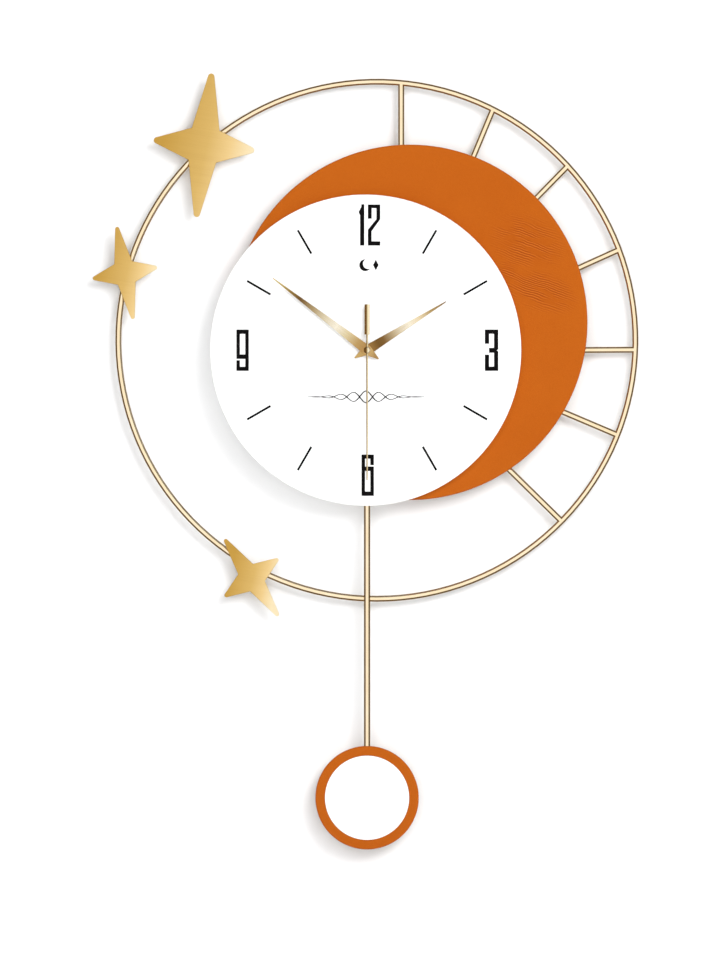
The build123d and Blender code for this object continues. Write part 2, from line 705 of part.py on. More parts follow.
def second_wheel():
    arbor = pin(SECOND_SHAFT, CENTRE, ARBOR_BACK, -38.2)
    wheel = gear(60, 0.3, CENTRE, SECOND_LAYER, INTERMEDIATE_DIRECTION, WHEEL_TOOTH, 0)
    pinion = gear(8, 0.3, CENTRE, (SECOND_LAYER[1], THIRD_LAYER[1]), gap_angle(THIRD_DIRECTION, 8), PINION_TOOTH, 0)
    return arbor + wheel + pinion


def third_wheel():
    meets = THIRD_DIRECTION + 180
    arbor = pin(ARBOR_RADIUS, THIRD, ARBOR_BACK, -20.6)
    wheel = gear(60, 0.3, THIRD, THIRD_LAYER, meets, WHEEL_TOOTH, 0)
    leaf = 2 * TRAIN_DISTANCE / 72
    pinion = gear(8, leaf, THIRD, (THIRD_LAYER[1], CENTRE_LAYER[1]), gap_angle(meets, 8), PINION_TOOTH, 0)
    return arbor + wheel + pinion


def intermediate_wheel():
    meets = INTERMEDIATE_DIRECTION + 180
    arbor = pin(ARBOR_RADIUS, INTERMEDIATE, ARBOR_BACK, -15.9)
    wheel = gear(32, 0.3, INTERMEDIATE, ROTOR_LAYER, ROTOR_DIRECTION, WHEEL_TOOTH, 0)
    pinion = gear(8, 0.3, INTERMEDIATE, (ROTOR_LAYER[1], SECOND_LAYER[1]), gap_angle(meets, 8), PINION_TOOTH, 0)
    return arbor + wheel + pinion


def rotor_pinion():
    arbor = pin(ARBOR_RADIUS, ROTOR, -7.4, -15.8)
    return arbor + gear(8, 0.3, ROTOR, ROTOR_LAYER, gap_angle(ROTOR_DIRECTION + 180, 8), PINION_TOOTH, 0)


def rotor_magnet():
    return tube(2.8, ARBOR_RADIUS, ROTOR, *MAGNET_LAYER)


def set_knob():
    """Hand-setting knob behind the case, on a shaft whose pinion meets the minute wheel."""
    front_pivot = pin(ARBOR_RADIUS, KNOB, MOTION_LAYER[1], -20.6)
    pinion = gear(12, 0.35, KNOB, MOTION_LAYER, gap_angle(180, 12), PINION_TOOTH, 0)
    shaft = pin(1.25, KNOB, -4.8, MOTION_LAYER[0])
    knob = pin(6.0, KNOB, -1.9, -4.8)
    for number in range(24):
        knob -= pin(0.45, polar(6.15, 15 * number, KNOB), -1.9, -4.8)
    return front_pivot + pinion + shaft + knob


# ---- Battery and pendulum ----

def battery():
    """Cell with its raised positive end to the right."""
    left = (-BATTERY_LENGTH / 2 - 0.5, BATTERY_Z)
    right = (BATTERY_LENGTH / 2 - 0.5, BATTERY_Z)
    can = rod_between(left, right, BATTERY_RADIUS, BATTERY_Y)
    can = fillet(can.edges().filter_by(GeomType.CIRCLE), 0.5)
    nub = rod_between(right, (right[0] + BATTERY_NUB[1], BATTERY_Z), BATTERY_NUB[0], BATTERY_Y)
    return can + nub


def swing_arm():
    """Arm on the pivot pin, with a pocket for the magnet and an upturned hook for the rod."""
    limb = disc(3.6, PIVOT) + bar(-3.0, HOOK_Z - 1, 3.0, PIVOT[1]) + disc(6.4, (0, MAGNET_Z)) + disc(3.0, (0, HOOK_Z))
    arm = slab(limb, *ARM_LAYER)
    arm += pin(3.0, PIVOT, -12.0, ARM_LAYER[0])
    arm -= pin(PIVOT_PIN + RUNNING, PIVOT, -12.0, ARM_LAYER[1])
    arm += pin(HOOK_RADIUS, (0, HOOK_Z), -12.4, ARM_LAYER[0])
    arm += slab(bar(-1.6, HOOK_Z - 1.4, 1.6, HOOK_Z + 3.2), -11.4, -12.4)
    return arm


def drive_magnet():
    return pin(5.0, (0, MAGNET_Z), -12.0, ARM_LAYER[0])


def pendulum_rod():
    """Round rod with a flat eye at its top, which hangs on the swing arm's hook."""
    eye_radius = 3.4
    eye_z = HOOK_Z + HOOK_RADIUS - eye_radius
    eye = slab(disc(6.0, (0, eye_z)) + bar(-ROD_RADIUS, ROD_TOP - 4, ROD_RADIUS, eye_z), -13.0, -15.0)
    rod = rod_between((0, ROD_TOP - 1), (0, BOB_CENTRE[1] + BOB_RADIUS - ROD_SOCKET), ROD_RADIUS, PENDULUM_Y)
    return rod + eye - pin(eye_radius, (0, eye_z), -13.0, -15.0)


def rod_socket():
    return rod_between((0, BOB_CENTRE[1] + BOB_RADIUS + 1), (0, BOB_CENTRE[1] + BOB_RADIUS - ROD_SOCKET), ROD_RADIUS, PENDULUM_Y)


def bob_board():
    return pin(BOB_RADIUS - BOB_SKIN, BOB_CENTRE, BOB_BACK, BOB_FRONT) - rod_socket()


def bob_leather():
    """Leather ring on the front of the bob, wrapped round its edge."""
    hide = pin(BOB_RADIUS, BOB_CENTRE, BOB_BACK, BOB_FRONT - BOB_SKIN)
    hide = fillet(hide.edges().filter_by(GeomType.CIRCLE).sort_by(Axis.Y)[0], BOB_SKIN * 0.75)
    hide -= pin(BOB_RADIUS - BOB_SKIN, BOB_CENTRE, BOB_BACK, BOB_FRONT)
    return hide - pin(BOB_FACE_RADIUS, BOB_CENTRE, BOB_FRONT, BOB_FRONT - BOB_SKIN) - rod_socket()


def bob_face():
    return pin(BOB_FACE_RADIUS - 0.1, BOB_CENTRE, BOB_FRONT, BOB_FRONT - 0.5)


PIECES = {
    "hoop_ring": hoop_wire,
    "star_saddles": star_saddles,
    "moon_board": moon_board,
    "moon_leather": moon_leather,
    "dial_board": dial_board,
    "dial_face": dial_face,
    "dial_numerals": dial_numerals,
    "hour_lines": hour_lines,
    "dial_emblem": dial_emblem,
    "dial_screws": dial_screws,
    "spoke_screws": spoke_screws,
    "hanger_bracket": hanger_bracket,
    "hanger_screws": hanger_screws,
    "wall_bumpers": wall_bumpers,
    "movement_case_front": movement_case_front,
    "movement_case_rear": movement_case_rear,
    "mid_plate": mid_plate,
    "shaft_bush": shaft_bush,
    "hex_nut": hex_nut,
    "bush_washer": bush_washer,
    "rubber_gasket": rubber_gasket,
    "circuit_board": circuit_board,
    "stator": stator,
    "coil_bobbin": coil_bobbin,
    "motor_coil": motor_coil,
    "battery_contacts": battery_contacts,
    "pendulum_coil": pendulum_coil,
    "pendulum_pivot_pin": pendulum_pivot_pin,
    "case_screws": case_screws,
    "hour_hand": hour_hand,
    "minute_hand": minute_hand,
    "second_hand": second_hand,
    "cannon_pinion": cannon_pinion,
    "centre_wheel": centre_wheel,
    "hour_wheel": hour_wheel,
    "minute_wheel": minute_wheel,
    "second_wheel": second_wheel,
    "third_wheel": third_wheel,
    "intermediate_wheel": intermediate_wheel,
    "rotor_pinion": rotor_pinion,
    "rotor_magnet": rotor_magnet,
    "set_knob": set_knob,
    "battery": battery,
    "swing_arm": swing_arm,
    "drive_magnet": drive_magnet,
    "pendulum_rod": pendulum_rod,
    "bob_board": bob_board,
    "bob_leather": bob_leather,
    "bob_face": bob_face,
}

os.makedirs("parts", exist_ok=True)
to_origin = Pos(-HANGER_X, 0, -HANGER_Z)
for name, make in PIECES.items():
    export_step(to_origin * make(), f"parts/{name}.step")
for name in STARS:
    export_step(to_origin * star(name), f"parts/{name}.step")
for number, pair in enumerate(SPOKES, start=1):
    export_step(to_origin * spoke(*pair), f"parts/spoke_{number}.step")
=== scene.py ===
"""Looks for the pendulum wall clock: leather, plated metal, painted board, print and plastics.

Metres, in the CAD frame. The wall is the plane y = 0 and the dial faces -Y.
"""

import json
import math

import bpy
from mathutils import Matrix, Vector


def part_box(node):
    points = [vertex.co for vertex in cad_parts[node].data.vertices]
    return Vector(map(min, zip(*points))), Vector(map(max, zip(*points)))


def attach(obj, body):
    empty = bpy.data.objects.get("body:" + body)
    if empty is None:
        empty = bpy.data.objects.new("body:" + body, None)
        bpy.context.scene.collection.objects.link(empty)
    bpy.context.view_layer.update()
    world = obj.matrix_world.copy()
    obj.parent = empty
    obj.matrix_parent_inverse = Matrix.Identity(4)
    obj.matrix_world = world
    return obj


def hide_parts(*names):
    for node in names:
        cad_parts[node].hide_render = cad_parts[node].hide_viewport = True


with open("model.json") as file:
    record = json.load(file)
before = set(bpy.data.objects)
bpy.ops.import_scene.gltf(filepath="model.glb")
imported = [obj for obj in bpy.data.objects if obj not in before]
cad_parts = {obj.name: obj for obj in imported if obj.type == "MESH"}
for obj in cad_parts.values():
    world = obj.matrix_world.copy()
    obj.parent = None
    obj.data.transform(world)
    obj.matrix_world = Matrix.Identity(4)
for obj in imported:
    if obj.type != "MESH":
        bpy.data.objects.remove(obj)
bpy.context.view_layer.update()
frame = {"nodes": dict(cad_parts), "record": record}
NODES = frame["nodes"]
BODIES = frame["record"]["behaviour"]["bodies"]
BODY_OF = {node: body for body, names in BODIES.items() for node in names}

MM = 0.001

# ---- Driving sizes and places ----
MOON_RADIUS = 170.8 * MM
MOON_CUT_RADIUS = 130.0 * MM
LEATHER = 0.8 * MM
HOUR_ANGLE = math.radians(58.4)
MINUTE_ANGLE = math.radians(307.4)
HAND_TAIL = 14 * MM
HOUR_LENGTH = 89 * MM
MINUTE_LENGTH = 114 * MM
SECOND_HALF_WIDTH = 2.5 * MM

bush_low, bush_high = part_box("shaft_bush")
ARBOR = (bush_low + bush_high) / 2
moon_low, moon_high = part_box("moon_leather")
MOON = Vector((moon_high.x - MOON_RADIUS, (moon_low.y + moon_high.y) / 2, moon_high.z - MOON_RADIUS))
MOON_CUT = Vector((ARBOR.x - 21.0 * MM, MOON.y, ARBOR.z - 13.5 * MM))
PENDULUM_GAP_X = ARBOR.x + 27 * MM  # the crescent leaves room for the pendulum left of this
PENDULUM_GAP_Z = ARBOR.z - 60 * MM  # and below this
HIDE_HOLE_RADIUS = 52 * MM  # lies inside the cut
bob_low, bob_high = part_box("bob_leather")
BOB = (bob_low + bob_high) / 2
BOB_RADIUS = (bob_high.x - bob_low.x) / 2
BOB_FACE_RADIUS = 40.5 * MM


# ---- Hand tools ----

def nothing_selected():
    if bpy.context.object and bpy.context.object.mode != "OBJECT":
        bpy.ops.object.mode_set(mode="OBJECT")
    bpy.ops.object.select_all(action="DESELECT")


def take_up(piece):
    """Makes the piece the only one selected and the active one."""
    nothing_selected()
    piece.select_set(True)
    bpy.context.view_layer.objects.active = piece


def settle(piece):
    """Puts the place, turn and size into the mesh, so that the object sits at the origin."""
    take_up(piece)
    bpy.ops.object.transform_apply(location=True, rotation=True, scale=True)


def edit_all(piece):
    take_up(piece)
    bpy.ops.object.mode_set(mode="EDIT")
    bpy.ops.mesh.select_all(action="SELECT")


def leave_edit():
    bpy.ops.object.mode_set(mode="OBJECT")


def outwards(piece):
    edit_all(piece)
    bpy.ops.mesh.normals_make_consistent(inside=False)
    leave_edit()


def apply_modifier(piece, kind, **settings):
    take_up(piece)
    modifier = piece.modifiers.new(kind.lower(), kind)
    for name, value in settings.items():
        setattr(modifier, name, value)
    bpy.ops.object.modifier_apply(modifier=modifier.name)


def smooth(piece, degrees):
    take_up(piece)
    bpy.ops.object.shade_smooth_by_angle(angle=math.radians(degrees))


def finish_piece(piece, name, body, material, replaces=()):
    piece.name = name
    piece.data.name = name
    piece.data.materials.clear()
    piece.data.materials.append(material)
    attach(piece, body)
    if replaces:
        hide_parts(*replaces)
    return piece


def turned(name, centre, profile, segments):
    """Ring turned about the Y axis: a circle carried along (radius, y) points by extruding and resizing."""
    nothing_selected()
    radius, y = profile[0]
    bpy.ops.mesh.primitive_circle_add(
        vertices=segments, radius=radius, location=(centre.x, y, centre.z), rotation=(math.pi / 2, 0, 0))
    piece = bpy.context.object
    settle(piece)
    edit_all(piece)
    for new_radius, new_y in profile[1:]:
        bpy.ops.mesh.extrude_region_move(TRANSFORM_OT_translate={"value": (0, new_y - y, 0)})
        factor = new_radius / radius
        bpy.ops.transform.resize(value=(factor, 1, factor), center_override=(centre.x, new_y, centre.z))
        radius, y = new_radius, new_y
    leave_edit()
    piece.name = name
    return piece


def merged_copy(node):
    """A copy of a CAD node with its loose triangles joined up and its flat stretches made whole."""
    piece = NODES[node].copy()
    piece.data = NODES[node].data.copy()
    piece.parent = None
    for key in list(piece.keys()):
        del piece[key]
    bpy.context.scene.collection.objects.link(piece)
    edit_all(piece)
    bpy.ops.mesh.remove_doubles(threshold=0.002 * MM)
    bpy.ops.mesh.customdata_custom_splitnormals_clear()
    bpy.ops.mesh.dissolve_limited(angle_limit=math.radians(0.5))
    leave_edit()
    return piece


def softened(node, width, name, material):
    """The CAD node with its sharp edges rounded, standing for the node."""
    piece = merged_copy(node)
    apply_modifier(
        piece, "BEVEL", width=width, segments=2, limit_method="ANGLE",
        angle_limit=math.radians(30), use_clamp_overlap=True)
    smooth(piece, 40)
    apply_modifier(piece, "WEIGHTED_NORMAL", weight=100, keep_sharp=True)
    return finish_piece(piece, name, BODY_OF[node], material, [node])


# ---- Node helpers ----

def add(tree, kind, ins=None, **settings):
    """Adds a node. ins gives each input, by name or number, a value or a socket to link."""
    made = tree.nodes.new(kind)
    for name, value in settings.items():
        setattr(made, name, value)
    for name, value in (ins or {}).items():
        if isinstance(value, bpy.types.NodeSocket):
            tree.links.new(value, made.inputs[name])
        else:
            made.inputs[name].default_value = value
    return made


def math_node(tree, operation, first, second):
    made = add(tree, "ShaderNodeMath", {0: first, 1: second}, operation=operation)
    return made.outputs[0]


def vector_math(tree, operation, first, second=(0, 0, 0)):
    made = add(tree, "ShaderNodeVectorMath", {0: first, 1: second}, operation=operation)
    return made.outputs["Value" if operation in ("DOT_PRODUCT", "LENGTH") else "Vector"]


def object_place(tree):
    return add(tree, "ShaderNodeTexCoord").outputs["Object"]


def about_y(tree, place, angle):
    """The place turned about the Y axis, which points into the wall."""
    made = add(tree, "ShaderNodeVectorRotate", {"Vector": place, "Angle": angle}, rotation_type="Y_AXIS")
    return made.outputs[0]


def noise(tree, place, scale, detail):
    return add(tree, "ShaderNodeTexNoise", {"Vector": place, "Scale": scale, "Detail": detail})


def map_range(tree, value, low, high, new_low=0.0, new_high=1.0):
    made = add(tree, "ShaderNodeMapRange", {
        "Value": value, "From Min": low, "From Max": high, "To Min": new_low, "To Max": new_high})
    return made.outputs[0]


def share_of(tree, value, share):
    return math_node(tree, "MULTIPLY", value, share)


def mix_colours(tree, factor, first, second, blend="MIX"):
    made = add(tree, "ShaderNodeMix", {0: factor, 6: first, 7: second}, data_type="RGBA", blend_type=blend)
    return made.outputs[2]


def ramp(tree, factor, stops, interpolation="LINEAR"):
    """Colour ramp from (position, colour) stops."""
    made = add(tree, "ShaderNodeValToRGB", {"Fac": factor})
    made.color_ramp.interpolation = interpolation
    band = made.color_ramp.elements
    while len(band) > len(stops):
        band.remove(band[-1])
    while len(band) < len(stops):
        band.new(1.0)
    for element, (position, colour) in zip(band, stops):
        element.position = position
        element.color = colour
    return made.outputs[0]


def rgb(red, green, blue):
    """Linear colour from 0-255 display values."""
    linear = []
    for value in (red, green, blue):
        share = value / 255
        linear.append(share / 12.92 if share <= 0.04045 else ((share + 0.055) / 1.055) ** 2.4)
    return (*linear, 1.0)


def darker(colour, share):
    return (colour[0] * share, colour[1] * share, colour[2] * share, 1.0)


# ---- Shared effects, as node groups ----

def group_shell(name, inputs, outputs):
    tree = bpy.data.node_groups.new(name, "ShaderNodeTree")
    for label, kind, value in inputs:
        socket = tree.interface.new_socket(name=label, in_out="INPUT", socket_type=kind)
        socket.default_value = value
    for label, kind in outputs:
        tree.interface.new_socket(name=label, in_out="OUTPUT", socket_type=kind)
    return tree, tree.nodes.new("NodeGroupInput"), tree.nodes.new("NodeGroupOutput")


def make_fine_grain():
    """Two sizes of noise: a value for roughness and a height for a bump."""
    tree, source, sink = group_shell(
        "fine grain",
        [("Scale", "NodeSocketFloat", 900.0), ("Stretch", "NodeSocketVector", (1.0, 1.0, 1.0)),
         ("Low", "NodeSocketFloat", 0.3), ("High", "NodeSocketFloat", 0.5)],
        [("Value", "NodeSocketFloat"), ("Height", "NodeSocketFloat")])
    spread = vector_math(tree, "MULTIPLY", object_place(tree), source.outputs["Stretch"])
    fine = noise(tree, spread, source.outputs["Scale"], 3.0).outputs[0]
    coarse = noise(tree, spread, share_of(tree, source.outputs["Scale"], 0.13), 2.0).outputs[0]
    both = math_node(tree, "ADD", share_of(tree, fine, 0.6), share_of(tree, coarse, 0.4))
    value = map_range(tree, both, 0.35, 0.65, source.outputs["Low"], source.outputs["High"])
    tree.links.new(value, sink.inputs["Value"])
    tree.links.new(both, sink.inputs["Height"])
    return tree


def make_colour_drift():
    """Slow wander between two near colours."""
    tree, source, sink = group_shell(
        "colour drift",
        [("One", "NodeSocketColor", (1, 1, 1, 1)), ("Other", "NodeSocketColor", (1, 1, 1, 1)),
         ("Scale", "NodeSocketFloat", 40.0)],
        [("Color", "NodeSocketColor")])
    wander = noise(tree, object_place(tree), source.outputs["Scale"], 4.0).outputs[0]
    share = map_range(tree, wander, 0.3, 0.7)
    colour = mix_colours(tree, share, source.outputs["One"], source.outputs["Other"])
    tree.links.new(colour, sink.inputs["Color"])
    return tree


PEBBLE_WARP = 2.2 * MM


def make_pebble():
    """Leather's pebbled grain: rounded cells with fine lines between them."""
    tree, source, sink = group_shell(
        "pebble grain",
        [("Scale", "NodeSocketFloat", 700.0)],
        [("Height", "NodeSocketFloat"), ("Furrow", "NodeSocketFloat")])
    place = object_place(tree)
    warp = noise(tree, place, 260.0, 3.0).outputs["Color"]
    pushed = add(tree, "ShaderNodeVectorMath", {0: warp, "Scale": PEBBLE_WARP}, operation="SCALE").outputs[0]
    moved = vector_math(tree, "ADD", place, pushed)
    cells = add(
        tree, "ShaderNodeTexVoronoi", {"Vector": moved, "Scale": source.outputs["Scale"]},
        feature="DISTANCE_TO_EDGE")
    domed = map_range(tree, cells.outputs[0], 0.0, 0.28)
    dust = noise(tree, place, 2600.0, 2.0).outputs[0]
    height = math_node(tree, "ADD", share_of(tree, domed, 0.8), share_of(tree, dust, 0.2))
    tree.links.new(height, sink.inputs["Height"])
    furrow = math_node(tree, "SUBTRACT", 1.0, domed)
    tree.links.new(furrow, sink.inputs["Furrow"])
    return tree


def make_drawn_lines():
    """Fine parallel lines left by drawing or brushing, along one direction in the XZ plane."""
    tree, source, sink = group_shell(
        "drawn lines",
        [("Angle", "NodeSocketFloat", 0.0), ("Scale", "NodeSocketFloat", 40.0),
         ("Low", "NodeSocketFloat", 0.2), ("High", "NodeSocketFloat", 0.4)],
        [("Value", "NodeSocketFloat"), ("Height", "NodeSocketFloat")])
    along = about_y(tree, object_place(tree), source.outputs["Angle"])
    stretched = vector_math(tree, "MULTIPLY", along, (40.0, 40.0, 1.0))
    lines = noise(tree, stretched, source.outputs["Scale"], 4.0).outputs[0]
    value = map_range(tree, lines, 0.3, 0.7, source.outputs["Low"], source.outputs["High"])
    tree.links.new(value, sink.inputs["Value"])
    tree.links.new(lines, sink.inputs["Height"])
    return tree


FINE_GRAIN = make_fine_grain()
COLOUR_DRIFT = make_colour_drift()
PEBBLE = make_pebble()
DRAWN_LINES = make_drawn_lines()


# ---- Materials ----

def blank(name):
    material = bpy.data.materials.new(name)
    material.use_nodes = True
    tree = material.node_tree
    return material, tree, tree.nodes["Principled BSDF"]


def shared(tree, group, **values):
    made = tree.nodes.new("ShaderNodeGroup")
    made.node_tree = group
    for name, value in values.items():
        made.inputs[name].default_value = value
    return made


def bump(tree, shader, height, distance):
    made = add(tree, "ShaderNodeBump", {"Height": height, "Distance": distance, "Strength": 1.0})
    tree.links.new(made.outputs[0], shader.inputs["Normal"])


def finish_of(
        name, one, other, rough, metallic=0.0, grain=900.0, depth=0.01 * MM, drift=40.0,
        stretch=(1.0, 1.0, 1.0), coat=0.0, specular=0.5):
    """Everyday finish: colour that wanders between two tones, uneven gloss and a fine surface."""
    material, tree, shader = blank(name)
    colour = shared(tree, COLOUR_DRIFT, One=one, Other=other, Scale=drift)
    surface = shared(tree, FINE_GRAIN, Scale=grain, Stretch=stretch, Low=rough[0], High=rough[1])
    tree.links.new(colour.outputs["Color"], shader.inputs["Base Color"])
    tree.links.new(surface.outputs["Value"], shader.inputs["Roughness"])
    bump(tree, shader, surface.outputs["Height"], depth)
    shader.inputs["Metallic"].default_value = metallic
    shader.inputs["Coat Weight"].default_value = coat
    shader.inputs["Specular IOR Level"].default_value = specular
    return material


LEATHER_TOP = (0.452, 0.104, 0.006, 1)
LEATHER_WANDER = (0.43, 0.094, 0.005, 1)
# Painted shade for the furrows of the grain and for the creased patches.
LEATHER_PAINTED_SHADE = (0.36, 0.066, 0.003, 1)
LEATHER_SHEEN = (1.0, 0.62, 0.36, 1)
# Painted shade in the crease furrows and a painted highlight on the crease ridges.
CREASE_PAINTED_SHADE = (0.25, 0.042, 0.002, 1)
CREASE_PAINTED_HIGHLIGHT = (0.62, 0.16, 0.022, 1)


def leather(name, creases=False):
    """Orange hide with a pebbled grain and painted shade in its furrows; with creases, painted shade and a
    painted highlight on the creases too.
    """
    material, tree, shader = blank(name)
    drift = shared(tree, COLOUR_DRIFT, One=LEATHER_TOP, Other=LEATHER_WANDER, Scale=14.0)
    pebble = shared(tree, PEBBLE, Scale=800.0)
    # Painted shade in the furrows of the grain.
    dark = share_of(tree, pebble.outputs["Furrow"], 0.45)
    colour = mix_colours(tree, dark, drift.outputs["Color"], LEATHER_PAINTED_SHADE)
    surface = shared(tree, FINE_GRAIN, Scale=1500.0, Low=0.48, High=0.6)
    height = pebble.outputs["Height"]
    if creases:
        ridges, furrows, mask = stretch_creases(tree)
        # Painted shade over the creased patches and in the crease furrows, and a painted highlight on the
        # crease ridges, which also raise the bump.
        colour = mix_colours(tree, share_of(tree, mask, 0.35), colour, LEATHER_PAINTED_SHADE)
        colour = mix_colours(tree, share_of(tree, furrows, 0.9), colour, CREASE_PAINTED_SHADE)
        colour = mix_colours(tree, share_of(tree, ridges, 0.75), colour, CREASE_PAINTED_HIGHLIGHT)
        height = math_node(tree, "ADD", height, share_of(tree, ridges, 3.0))
    tree.links.new(colour, shader.inputs["Base Color"])
    tree.links.new(surface.outputs["Value"], shader.inputs["Roughness"])
    bump(tree, shader, height, 0.05 * MM)
    shader.inputs["Specular IOR Level"].default_value = 0.25
    shader.inputs["Specular Tint"].default_value = LEATHER_SHEEN
    return material


CREASE_SLOPE = math.radians(20)
CREASE_PITCH = 2.1 * MM
WAVE_LENGTH = math.tau / 20  # of a wave texture whose scale is one
CREASE_PATCHES = (  # centre right of and above the hands' shaft, half width and half height, in millimetres
    (154.0, 103.0, 38.0, 27.0),
    (166.0, 58.0, 40.0, 21.0),
    (135.0, 74.0, 12.0, 17.0),
)


def patch_mask(tree, place):
    """One inside the creased patches, fading out at their rims."""
    total = None
    for right, above, half_width, half_height in CREASE_PATCHES:
        centre = (ARBOR.x + right * MM, 0, ARBOR.z + above * MM)
        away = about_y(tree, vector_math(tree, "SUBTRACT", place, centre), -CREASE_SLOPE)
        shrunk = vector_math(tree, "MULTIPLY", away, (1 / (half_width * MM), 0, 1 / (half_height * MM)))
        inside = map_range(tree, vector_math(tree, "LENGTH", shrunk), 0.45, 1.05, 1.0, 0.0)
        total = inside if total is None else math_node(tree, "MAXIMUM", total, inside)
    return total


def stretch_creases(tree):
    """Fine wavy creases where the hide was stretched round the upper right of the crescent.

    Gives the ridges, the furrows beside them and the mask of the creased patches.
    """
    place = object_place(tree)
    sloped = about_y(tree, place, -CREASE_SLOPE)
    waves = {
        "Vector": sloped, "Scale": WAVE_LENGTH / CREASE_PITCH, "Distortion": 9.0,
        "Detail": 2.5, "Detail Scale": 0.3, "Detail Roughness": 0.55}
    made = add(tree, "ShaderNodeTexWave", waves, wave_type="BANDS", bands_direction="Z", wave_profile="SIN")
    bands = made.outputs["Fac"]
    stretched = vector_math(tree, "MULTIPLY", sloped, (0.3, 1.0, 1.0))
    breaks = noise(tree, stretched, 150.0, 2.0).outputs[0]
    mask = patch_mask(tree, place)
    drawn = math_node(tree, "MULTIPLY", mask, map_range(tree, breaks, 0.4, 0.56))
    between_bands = math_node(tree, "SUBTRACT", 1.0, bands)
    ridges = math_node(tree, "MULTIPLY", math_node(tree, "POWER", bands, 4.0), drawn)
    furrows = math_node(tree, "MULTIPLY", math_node(tree, "POWER", between_bands, 1.8), drawn)
    return ridges, furrows, mask


def plated(name, colours, rough, start, run, scale=60.0, angle=0.0, depth=0.004 * MM, streaks=0.16):
    """Plated metal with a painted reflection: its colour changes along a line from start by run, with fine
    drawn lines.
    """
    material, tree, shader = blank(name)
    offset = vector_math(tree, "SUBTRACT", object_place(tree), start)
    along = vector_math(tree, "DOT_PRODUCT", offset, run / run.length_squared)
    # The ramp of colours along the run is a painted reflection.
    tone = ramp(tree, along, colours)
    lines = shared(tree, DRAWN_LINES, Angle=angle, Scale=scale, Low=rough[0], High=rough[1])
    shade = share_of(tree, lines.outputs["Height"], streaks)
    colour = mix_colours(tree, shade, tone, darker(colours[0][1], 0.5))
    tree.links.new(colour, shader.inputs["Base Color"])
    tree.links.new(lines.outputs["Value"], shader.inputs["Roughness"])
    bump(tree, shader, lines.outputs["Height"], depth)
    shader.inputs["Metallic"].default_value = 1.0
    return material


def battery_jacket(start, length):
    """Printed wrap in charcoal and copper bands, with bare plated metal at both ends."""
    material, tree, shader = blank("battery jacket")
    along = add(tree, "ShaderNodeSeparateXYZ", {0: object_place(tree)}).outputs[0]
    bands = ramp(tree, map_range(tree, along, start, start + length), [
        (0.0, rgb(198, 198, 194)), (0.016, rgb(42, 44, 48)), (0.665, rgb(232, 232, 228)),
        (0.68, rgb(178, 104, 58)), (0.965, rgb(206, 206, 202))], "CONSTANT")
    worn = shared(tree, COLOUR_DRIFT, One=(1, 1, 1, 1), Other=(0.86, 0.86, 0.86, 1), Scale=160.0)
    colour = mix_colours(tree, 1.0, bands, worn.outputs["Color"], "MULTIPLY")
    surface = shared(tree, FINE_GRAIN, Scale=900.0, Low=0.22, High=0.36)
    tree.links.new(colour, shader.inputs["Base Color"])
    tree.links.new(surface.outputs["Value"], shader.inputs["Roughness"])
    bump(tree, shader, surface.outputs["Height"], 0.006 * MM)
    shader.inputs["Metallic"].default_value = 0.35
    return material


def hand_run(angle, length):
    """From the shaft to the end of a hand that points this far clockwise of twelve."""
    return Vector((math.sin(angle), 0, math.cos(angle))) * length


# Painted reflection on the star plates: dark gold at the left, pale cream at the right.
STAR_PAINTED_REFLECTION_LEFT = rgb(203, 160, 76)
STAR_PAINTED_REFLECTION_MIDDLE = rgb(224, 187, 113)
STAR_PAINTED_REFLECTION_WARM = rgb(244, 212, 150)
STAR_PAINTED_REFLECTION_RIGHT = rgb(255, 238, 200)


def star_metal(node):
    """Gold with a painted reflection: darker at the star's left tip and paler towards its right one."""
    low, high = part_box(node)
    start = Vector((low.x, 0, (low.z + high.z) / 2))
    run = Vector((high.x - low.x, 0, -0.25 * (high.x - low.x)))
    # Painted reflection stops, from the left tip to the right one.
    stops = [(0.08, STAR_PAINTED_REFLECTION_LEFT), (0.5, STAR_PAINTED_REFLECTION_MIDDLE), (0.72, STAR_PAINTED_REFLECTION_WARM), (0.93, STAR_PAINTED_REFLECTION_RIGHT)]
    return plated(
        node + " gold", stops, (0.34, 0.46), start, run,
        scale=25.0, angle=math.radians(80), depth=0.002 * MM, streaks=0.05)


def hand_metal(name, stops, angle, length):
    """Gold with painted reflections: dark and pale bands along a hand, from the end of its tail to its tip.
    """
    start = ARBOR - hand_run(angle, HAND_TAIL)
    run = hand_run(angle, HAND_TAIL + length)
    return plated(name, stops, (0.16, 0.26), start, run, angle=-angle, streaks=0.3)


LEATHER_MOON = leather("moon leather", creases=True)
LEATHER_BOB = leather("bob leather")

# Metals
GOLD_WIRE = finish_of(
    "gold wire", rgb(252, 234, 204), rgb(247, 226, 190), (0.04, 0.09), metallic=1.0,
    grain=700.0, depth=0.0008 * MM)
GOLD_ROD = finish_of(
    "gold rod", rgb(250, 233, 204), rgb(245, 224, 190), (0.05, 0.1), metallic=1.0,
    grain=900.0, depth=0.0008 * MM, stretch=(1.0, 1.0, 0.03))
ZINC = finish_of(
    "zinc plate", rgb(196, 198, 196), rgb(172, 176, 178), (0.26, 0.42), metallic=1.0, grain=600.0)
STEEL = finish_of("turned steel", rgb(190, 190, 190), rgb(170, 170, 172), (0.2, 0.35), metallic=1.0)
BRASS = finish_of(
    "turned brass", rgb(216, 182, 104), rgb(196, 160, 84), (0.18, 0.34), metallic=1.0, grain=800.0)
IRON = finish_of("soft iron", rgb(150, 148, 146), rgb(128, 126, 124), (0.35, 0.5), metallic=1.0)
COPPER = finish_of(
    "copper winding", rgb(206, 122, 78), rgb(176, 92, 54), (0.25, 0.4), metallic=1.0, grain=1200.0, coat=0.4)
